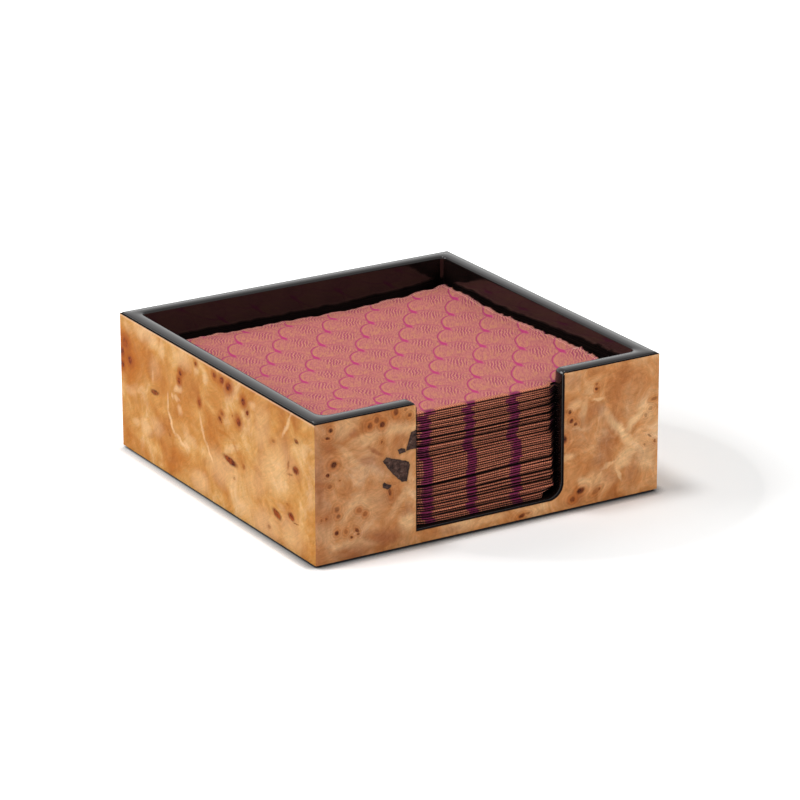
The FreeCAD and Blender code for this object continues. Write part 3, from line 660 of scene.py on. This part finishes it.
def scale_lines(tree, x, y, measure):
    """The outline, under 1 mm wide, strong on the left flank and faint on the right, and the feet:
    upright lozenges about 3 mm wide where the arches meet."""
    off = node(tree, "Math", (measure, 1.0), operation="SUBTRACT")
    off = node(tree, "Math", (off,), operation="ABSOLUTE")
    line = node(tree, "MapRange", (off, 0.045, 0.01), interpolation_type="SMOOTHSTEP")
    flank = node(tree, "MapRange", (x, 0.4, -0.3, 0.42, 0.95))
    outline = node(tree, "Math", (line, flank), operation="MULTIPLY")
    aside = node(tree, "Math", (x,), operation="ABSOLUTE")
    inward = node(tree, "Math", (1.0, aside), operation="SUBTRACT")
    low = node(tree, "Math", (y, SCALE_HIGH / 6.6), operation="MULTIPLY")
    low = node(tree, "Math", (inward, SCALE_HALF / 2.1, low), operation="MULTIPLY_ADD")
    down = node(tree, "Math", (1.0, y), operation="SUBTRACT")
    high = node(tree, "Math", (down, SCALE_HIGH / 4.8), operation="MULTIPLY")
    high = node(tree, "Math", (aside, SCALE_HALF / 1.9, high), operation="MULTIPLY_ADD")
    foot = node(tree, "Math", (low, high), operation="MINIMUM")
    return outline, node(tree, "MapRange", (foot, 1.15, 0.45), interpolation_type="SMOOTHSTEP")


def comb_strokes(tree, place, x, y, measure):
    """Light and dark strokes, 1.5 mm apart, combed on wide arcs about a point off to the lower
    right, and fading towards the ends and sides of each comb."""
    hub_x = node(tree, "Math", (x, SCALE_HALF, -36.0), operation="MULTIPLY_ADD")
    hub_y = node(tree, "Math", (y, SCALE_HIGH, 14.0), operation="MULTIPLY_ADD")
    hub = node(tree, "CombineXYZ", (hub_x, hub_y))
    fan = node(tree, "VectorMath", (hub,), out=1, operation="LENGTH")
    uneven = node(tree, "TexNoise", {"Vector": place, "Scale": 5.0, "Detail": 2.0})
    fan = node(tree, "Math", (uneven, 2.6, fan), operation="MULTIPLY_ADD")
    fan = node(tree, "Math", (fan, 2 * math.pi / STROKE_PITCH), operation="MULTIPLY")
    stroke = node(tree, "Math", (fan,), operation="SINE")
    reach = node(tree, "Math", (uneven, 0.3, y), operation="MULTIPLY_ADD")
    comb = node(tree, "MapRange", (reach, 0.05, 0.4), interpolation_type="SMOOTHSTEP")
    for share, full, none in ((reach, 0.82, 1.06), (x, 0.25, -0.2), (x, 0.45, 1.0), (measure, 0.93, 0.99)):
        fade = node(tree, "MapRange", (share, none, full), interpolation_type="SMOOTHSTEP")
        comb = node(tree, "Math", (comb, fade), operation="MULTIPLY")
    light = node(tree, "MapRange", (stroke, -0.3, -0.9, 0.0, 0.7), interpolation_type="SMOOTHSTEP")
    dark = node(tree, "MapRange", (stroke, 0.0, 0.8, 0.0, 0.8), interpolation_type="SMOOTHSTEP")
    return (node(tree, "Math", (light, comb), operation="MULTIPLY"),
            node(tree, "Math", (dark, comb), operation="MULTIPLY"))


def gold_ink(tree, brushed, x, y, measure):
    """How gold the ink is: a hairline inside the left flank, and brushed patches low in the scale."""
    inset = node(tree, "Math", (measure, 0.91), operation="SUBTRACT")
    inset = node(tree, "Math", (inset,), operation="ABSOLUTE")
    inset = node(tree, "MapRange", (inset, 0.035, 0.01, 0.0, 0.55), interpolation_type="SMOOTHSTEP")
    left = node(tree, "MapRange", (x, -0.1, -0.4), interpolation_type="SMOOTHSTEP")
    inset = node(tree, "Math", (inset, left), operation="MULTIPLY")
    patch = node(tree, "TexNoise", {"Vector": brushed, "Scale": 0.5, "Detail": 4.0, "Roughness": 0.6})
    patch = node(tree, "MapRange", (patch, 0.42, 0.62, 0.0, 0.5), interpolation_type="SMOOTHSTEP")
    inside = node(tree, "MapRange", (measure, 1.0, 0.96), interpolation_type="SMOOTHSTEP")
    low = node(tree, "Math", (inside, 0.15, y), operation="MULTIPLY_ADD")
    low = node(tree, "MapRange", (low, 1.2, 0.1), interpolation_type="SMOOTHSTEP")
    patch = node(tree, "Math", (patch, low), operation="MULTIPLY")
    return node(tree, "Math", (inset, patch), operation="MAXIMUM")


def fold_marks(tree, place, grit):
    """What follows the folds: how creased the tissue is, its rows of embossed dots, its hem, and the
    bands where the outlines' ink runs round the fold."""
    folds = node(tree, "UVMap", uv_map="folds")
    along = node(tree, "SeparateXYZ", (folds,), out=0)
    from_front = node(tree, "SeparateXYZ", (folds,), out=1)
    from_front = node(tree, "Math", (from_front,), operation="ABSOLUTE")
    creased = node(tree, "MapRange", (from_front, 3.2, 1.0), interpolation_type="SMOOTHSTEP")
    dots = node(tree, "Math", (along, 2 * math.pi / DOT_PITCH), operation="MULTIPLY")
    dots = node(tree, "Math", (dots,), operation="SINE")
    dots = node(tree, "MapRange", (dots, 0.2, -0.6), interpolation_type="SMOOTHSTEP")
    hem = node(tree, "Math", (along,), operation="ABSOLUTE")
    hem = node(tree, "Math", (hem, from_front), operation="MAXIMUM")
    hem = node(tree, "MapRange", (hem, SIDE - 3.2, SIDE - 1.8), interpolation_type="SMOOTHSTEP")
    band = node(tree, "SeparateXYZ", (place,), out=0)
    band = node(tree, "Math", (band, BAND_SHARE), operation="ADD")
    band = node(tree, "Math", (band,), operation="FRACT")
    band = node(tree, "Math", (band, 0.5), operation="SUBTRACT")
    band = node(tree, "Math", (band,), operation="ABSOLUTE")
    ragged = node(tree, "TexNoise", {"Vector": grit, "Scale": 0.45, "Detail": 2.0})
    ragged = node(tree, "Math", (ragged, 0.5), operation="SUBTRACT")
    ragged = node(tree, "Math", (ragged, 5.0), operation="MULTIPLY")
    band = node(tree, "Math", (band, GRIT[0], ragged), operation="MULTIPLY_ADD")
    band = node(tree, "MapRange", (band, 8.4, 10.8, 0.0, 0.92), interpolation_type="SMOOTHSTEP")
    return creased, dots, hem, node(tree, "Math", (band, creased), operation="MULTIPLY")


def painted_fold_light(tree, creased):
    """How much of the tissue's colour is kept under painted shade: none deep between the fluffed plies
    and little in the nooks beside the notch, both from ambient occlusion, and uneven on the folds,
    which are painted darker in thin strata as if some stood proud of the others."""
    # Painted shade from ambient occlusion: near black deep between the plies (3 mm), dim in the nooks
    # beside the notch (16 mm).
    deep = node(tree, "AmbientOcclusion", {"Distance": 0.003}, out=1, samples=4)
    deep = node(tree, "MapRange", (deep, 0.2, 0.95), interpolation_type="SMOOTHSTEP")
    deep = node(tree, "Math", (deep, 1.9), operation="POWER")
    nook = node(tree, "AmbientOcclusion", {"Distance": 0.016}, out=1, samples=6)
    nook = node(tree, "MapRange", (nook, 0.1, 0.5), interpolation_type="SMOOTHSTEP")
    deep = node(tree, "Math", (deep, nook), operation="MULTIPLY")
    # Painted shade: thin strata across the folds are painted down to half as bright.
    strata = node(tree, "TexCoord", out=3)
    strata = node(tree, "VectorMath", (strata, (14, 0, 800)), operation="MULTIPLY")
    strata = node(tree, "TexNoise", {"Vector": strata, "Scale": 1.0, "Detail": 1.0})
    strata = node(tree, "MapRange", (strata, 0.35, 0.6, 0.5, 1.0))
    flat = node(tree, "Math", (1.0, creased), operation="SUBTRACT")
    strata = node(tree, "Math", (strata, flat), operation="MAXIMUM")
    return node(tree, "Math", (deep, strata), operation="MULTIPLY")


def scale_print():
    """Dyed luncheon tissue printed with a fish-scale pattern and embossed: matt salmon-rose paper,
    thin crimson outlines with swollen feet, and slanting combed strokes under each arch. Its colour
    also carries painted highlights on the fold crests and painted shade in the folds."""
    material, tree, shader = new_material("printed_tissue", Roughness=0.75, Specular_IOR_Level=0.25)
    place = node(tree, "UVMap", uv_map="print")
    x, y, measure = scale_cell(tree, place)
    outline, foot = scale_lines(tree, x, y, measure)
    light_stroke, dark_stroke = comb_strokes(tree, place, x, y, measure)
    # The paper's grain is drawn in mm and brushed along the strokes.
    grit = node(tree, "VectorMath", (place, GRIT), operation="MULTIPLY")
    brushed = node(tree, "Mapping", {
        "Vector": grit, "Rotation": (0, 0, math.radians(57)), "Scale": (3.2, 0.8, 1)},
        vector_type="TEXTURE")
    gold = gold_ink(tree, brushed, x, y, measure)
    creased, dots, hem, band = fold_marks(tree, place, grit)
    speck = node(tree, "TexNoise", {"Vector": brushed, "Scale": 1.0, "Detail": 4.0, "Roughness": 0.65})
    colour = node(tree, "ValToRGB", (speck,), stops=[(0.3, "#A8525F"), (0.7, "#CC8071")])
    hem_dots = node(tree, "Math", (hem, dots), operation="MULTIPLY")
    # Painted highlight: the tissue near each fold is painted a bright salmon for the light on the fold
    # crests.
    painted_crest_highlight = node(tree, "Math", (creased, 0.75), operation="MULTIPLY")
    # Painted shade: the embossed dots along the folds are painted dark in their pits.
    painted_pit_shade = node(tree, "Math", (creased, dots), operation="MULTIPLY")
    painted_pit_shade = node(tree, "Math", (painted_pit_shade, 0.55), operation="MULTIPLY")
    # Each ink or mark, and the painted highlight on the fold crests and the painted shade in the dots'
    # pits, covers what lies under it: its share and its colour, from the paper up.
    for share, ink in ((gold, "#CA925C"), (light_stroke, "#DA927C"), (dark_stroke, "#9E3060"),
                       (outline, "#AC3068"), (foot, "#B83470"), (hem_dots, "#E39C8E"),
                       (painted_crest_highlight, "#FA9C74"), (painted_pit_shade, "#54161A"), (band, "#8A205A")):
        colour = node(tree, "Mix", {0: share, 6: colour, 7: paint(ink)}, out=2, data_type="RGBA")
    # Painted shade: the colour goes towards black wherever the tissue is painted as shaded.
    light = painted_fold_light(tree, creased)
    colour = node(tree, "Mix", {0: light, 6: (0.004, 0.001, 0.001, 1), 7: colour}, out=2,
                  data_type="RGBA")
    tree.links.new(colour, shader.inputs["Base Color"])
    # The strokes and outlines are embossed, up to 0.3 mm deep.
    relief = node(tree, "Math", (light_stroke, dark_stroke), operation="SUBTRACT")
    pressed = node(tree, "Math", (outline, foot), operation="MAXIMUM")
    relief = node(tree, "Math", (relief, pressed), operation="SUBTRACT")
    relief = node(tree, "Math", (speck, 1.2, relief), operation="MULTIPLY_ADD")
    bump = node(tree, "Bump", {"Height": relief, "Strength": 0.7, "Distance": 0.0003})
    tree.links.new(bump, shader.inputs["Normal"])
    return material


def tissue_back():
    """The unprinted side of the same tissue: dyed through, so paler and a little uneven."""
    material, tree, shader = new_material("plain_tissue", Roughness=0.8, Sheen_Weight=0.15)
    place = node(tree, "TexCoord", out=3)
    pulp = node(tree, "TexNoise", {"Vector": place, "Scale": 900.0, "Detail": 4.0})
    colour = node(tree, "ValToRGB", (pulp,), stops=[(0.3, "#C98A7C"), (0.7, "#DBA594")])
    tree.links.new(colour, shader.inputs["Base Color"])
    return material


# ------------------------------------------------------------------ floor, light and camera

# How strongly the table glows beside the box, the middle of that glow's dark patch in m, and how
# strongly the white room lights the object.
FLOOR_GLOW = 0.1
GLOW_MIDDLE = (0.06, -0.06, 0)
ROOM_LIGHT = 0.12
# Name, place and width in m, power in W, and whether it shows in the gloss: a high key on the left,
# a wide soft box behind on the left, and a fill in front on the right.
LAMPS = [
    ("key_softbox", (-0.27, 0.1, 1.4), 0.36, 9.0, True),
    ("left_softbox", (-1.15, 0.6, 0.75), 0.8, 11.5, True),
    ("front_fill", (0.68, -1.12, 0.75), 0.9, 10.5, False),
]
# The camera: its place in m, and its turn, its tilt from straight down and its roll in degrees.
CAMERA_PLACE = (-0.94506, -1.56959, 0.69008)
CAMERA_TURN, CAMERA_TILT, CAMERA_ROLL = -31.27, 90 - 19.66, -0.19


def seen_directly(tree):
    """1 for the camera's rays and for those that come off gloss or through glass, otherwise 0."""
    camera_ray = node(tree, "LightPath", out=0)
    glossy_ray = node(tree, "LightPath", out=3)
    through_ray = node(tree, "LightPath", out=6)
    seen = node(tree, "Math", (camera_ray, glossy_ray), operation="MAXIMUM")
    return node(tree, "Math", (seen, through_ray), operation="MAXIMUM")


def white_table():
    """A white table top that keeps the box's shadow and glows a little for the camera and the gloss."""
    bpy.ops.object.select_all(action="DESELECT")
    bpy.ops.mesh.primitive_plane_add(size=8)
    floor = bpy.context.object
    floor.name = "floor"
    material, tree, shader = new_material("white_table", Roughness=0.9, Specular_IOR_Level=0.1)
    place = node(tree, "TexCoord", out=3)
    x = node(tree, "SeparateXYZ", (place,), out=0)
    y = node(tree, "SeparateXYZ", (place,), out=1)
    # A painted contact shadow, where the box keeps the light out: ambient occlusion darkens the last few
    # millimetres round the felt, more strongly in front of the box and to its left.
    painted_contact_shadow = node(tree, "AmbientOcclusion", {"Distance": 0.0065}, out=1, samples=8)
    in_front = node(tree, "MapRange", (y, -0.09, 0.09, 2.3, 1.2))
    on_left = node(tree, "MapRange", (x, -0.101, -0.095, 2.0, 1.0))
    depth = node(tree, "Math", (in_front, on_left), operation="MULTIPLY")
    painted_contact_shadow = node(tree, "Math", (painted_contact_shadow, depth), operation="POWER")
    colour = node(tree, "Mix", {0: painted_contact_shadow, 6: (0, 0, 0, 1), 7: paint("#F9FAFA")}, out=2,
                  data_type="RGBA")
    tree.links.new(colour, shader.inputs["Base Color"])
    # The glow grows away from the box, up to a full white.
    away = node(tree, "VectorMath", (place, GLOW_MIDDLE), out=1, operation="DISTANCE")
    away = node(tree, "MapRange", (away, 0.1, 0.8))
    away = node(tree, "Math", (away, 0.5), operation="POWER")
    glow = node(tree, "MapRange", {0: away, 3: FLOOR_GLOW, 4: 1.0})
    glow = node(tree, "Math", (glow, painted_contact_shadow), operation="MULTIPLY")
    glow = node(tree, "Math", (seen_directly(tree), glow), operation="MULTIPLY")
    tree.links.new(glow, shader.inputs["Emission Strength"])
    shader.inputs["Emission Color"].default_value = (1, 1, 1, 1)
    floor.data.materials.append(material)


def white_room():
    """A room that shows white, and shines white in the gloss, but lights the object only softly."""
    world = bpy.data.worlds.new("white_room")
    bpy.context.scene.world = world
    world.use_nodes = True
    tree = world.node_tree
    strength = node(tree, "MapRange", (seen_directly(tree), 0.0, 1.0, ROOM_LIGHT, 1.0))
    background = next(n for n in tree.nodes if n.type == "BACKGROUND")
    background.inputs["Color"].default_value = (1, 1, 1, 1)
    tree.links.new(strength, background.inputs["Strength"])


def lamps():
    """Round soft boxes that all aim at the middle of the box."""
    for name, place, size, power, in_gloss in LAMPS:
        lamp = bpy.data.lights.new(name, "AREA")
        lamp.shape, lamp.size, lamp.energy = "DISK", size, power
        holder = bpy.data.objects.new(name, lamp)
        holder.visible_glossy = in_gloss
        bpy.context.collection.objects.link(holder)
        aim = (Vector((0, 0, 0.03)) - Vector(place)).to_track_quat("-Z", "Y")
        holder.matrix_world = Matrix.Translation(place) @ aim.to_matrix().to_4x4()


def camera():
    """A long lens, so that the upright edges stay upright."""
    data = bpy.data.cameras.new("camera")
    data.lens, data.sensor_width = 180, 36
    data.clip_end = 50
    holder = bpy.data.objects.new("camera", data)
    bpy.context.collection.objects.link(holder)
    turn = (Matrix.Rotation(math.radians(CAMERA_TURN), 4, "Z")
            @ Matrix.Rotation(math.radians(CAMERA_TILT), 4, "X")
            @ Matrix.Rotation(math.radians(CAMERA_ROLL), 4, "Z"))
    holder.matrix_world = Matrix.Translation(CAMERA_PLACE) @ turn
    bpy.context.scene.camera = holder


# ------------------------------------------------------------------ making

bpy.context.scene.view_settings.view_transform = "Standard"
camera()
white_table()
white_room()
lamps()

lacquer = black_lacquer()
right_figure, back_figure = scattered_figure(11), scattered_figure(29)
finishes = {
    "front_veneer": burl_veneer("burl_veneer_front", FRONT, FRONT_EYES, FRONT_CLOUDS, 20, DUSKY_HONEY,
                                "#985836", ("#2A110A", "#7A3C1E"), rings=0.1, curdle=0.17, blush=0.65,
                                notched=True),
    "left_veneer": burl_veneer("burl_veneer_left", LEFT, LEFT_EYES, LEFT_CLOUDS, -32, AMBER_HONEY,
                               "#BA6A1C", ("#451002", "#A84A10"), rings=0.03, curdle=0.09),
    "right_veneer": burl_veneer("burl_veneer_right", RIGHT, *right_figure, 25, AMBER_HONEY,
                                "#B06628", ("#3A1408", "#8A4014")),
    "back_veneer": burl_veneer("burl_veneer_back", BACK, *back_figure, -15, AMBER_HONEY,
                               "#B06628", ("#3A1408", "#8A4014")),
    "base_pad": base_felt(),
}
beech = spline_wood()
for name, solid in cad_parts.items():
    if not name.startswith("napkin_") and name != "top_napkin":
        finish = finishes.get(name) or (beech if name.endswith("spline") else lacquer)
        solid.data.materials.clear()
        solid.data.materials.append(finish)

printed_tissue, plain_tissue = scale_print(), tissue_back()
for index in range(NAPKINS):
    top = index == NAPKINS - 1
    node_name = "top_napkin" if top else f"napkin_{index + 1:02d}"
    napkin = fold_napkin("folded_" + node_name, index, HIDDEN_LINES, SHOWN_LINES if top else HIDDEN_LINES)
    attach(napkin, "top_napkin" if top else "napkin_stack")
    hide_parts(node_name)
